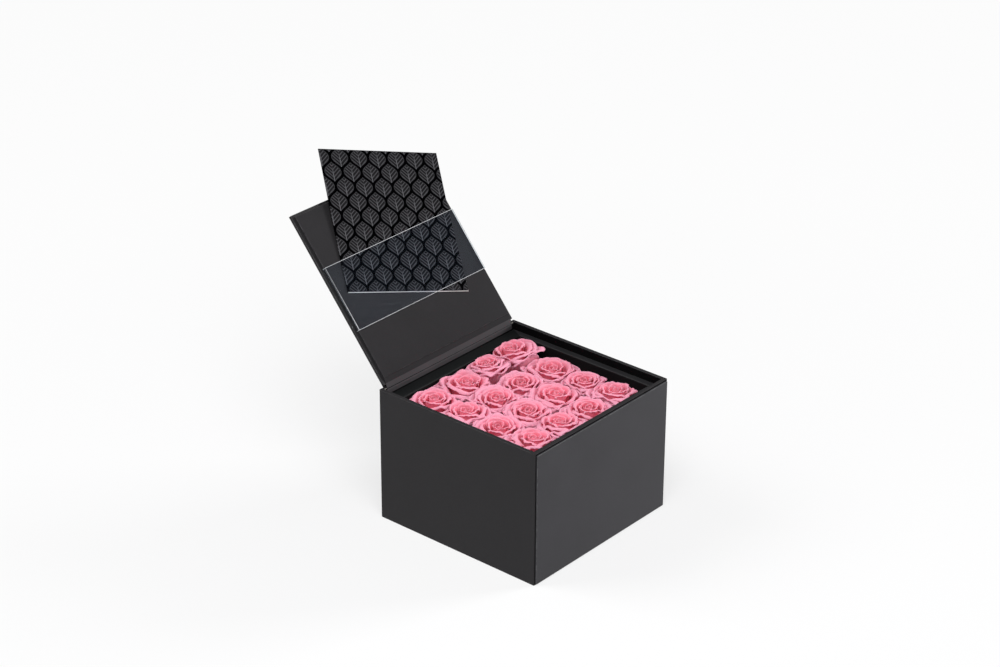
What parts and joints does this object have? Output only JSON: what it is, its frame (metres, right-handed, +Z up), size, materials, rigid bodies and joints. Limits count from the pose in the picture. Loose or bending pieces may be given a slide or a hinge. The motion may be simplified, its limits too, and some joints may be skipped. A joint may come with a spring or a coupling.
{
  "type": "flower box",
  "caption": "Square hinged gift box of black paper-wrapped board, open, with an inset lid, a card under a clear band and a bed of pink preserved roses.",
  "frame": {"origin": "centre of the box's base, on the surface that it stands on", "axes": "+Z up, +Y from the front fascia to the hinge at the back, +X along the front from the side wall seen in the picture to the far one"},
  "size_m": [0.1838, 0.3008, 0.2869],
  "materials": {
    "wrap_paper": "matte",
    "lining_paper": "matte",
    "insert_paper": "matte",
    "greyboard": "matte",
    "floral_foam": "matte",
    "stem": "matte",
    "petals": "matte",
    "clear_film": "gloss",
    "printed_card": "satin"
  },
  "bodies": {
    "box": {"base_sheet": "wrap_paper", "floor_board": "greyboard", "front_board": "greyboard", "back_board": "greyboard", "left_board": "greyboard", "right_board": "greyboard", "tray_wrap": "wrap_paper", "back_sheet": "wrap_paper", "fascia_board": "greyboard", "fascia_wrap": "wrap_paper", "insert_front": "insert_paper", "insert_back": "insert_paper", "insert_left": "insert_paper", "insert_right": "insert_paper", "foam_block": "floral_foam", "rose_stems": "stem", "liner_foot": "lining_paper", "rose_01": "petals", "rose_02": "petals", "rose_03": "petals", "rose_04": "petals", "rose_05": "petals", "rose_06": "petals", "rose_07": "petals", "rose_08": "petals", "rose_09": "petals", "rose_10": "petals", "rose_11": "petals", "rose_12": "petals", "rose_13": "petals", "rose_14": "petals", "rose_15": "petals", "rose_16": "petals"},
    "lid": {"lid_board": "greyboard", "lid_wrap": "wrap_paper", "pad_board": "greyboard", "pad_wrap": "lining_paper", "hinge_liner": "lining_paper", "clear_band": "clear_film"},
    "card": {"card": "printed_card"}
  },
  "joints": [
    {"name": "lid_hinge", "type": "hinge", "parent": "box", "child": "lid", "pos_m": [0, 0.0845, 0.1237], "axis": [1, 0, 0], "range_deg": [0, 130]},
    {"name": "card_swing", "type": "hinge", "parent": "lid", "child": "card", "pos_m": [0.11851, 0.12377, 0.17937], "axis": [0, 0.766, -0.6428], "range_deg": [-20, 0]}
  ],
  "couplings": [
    {"joint": "card_swing", "follows": "lid_hinge", "ratio": -0.15385}
  ]
}
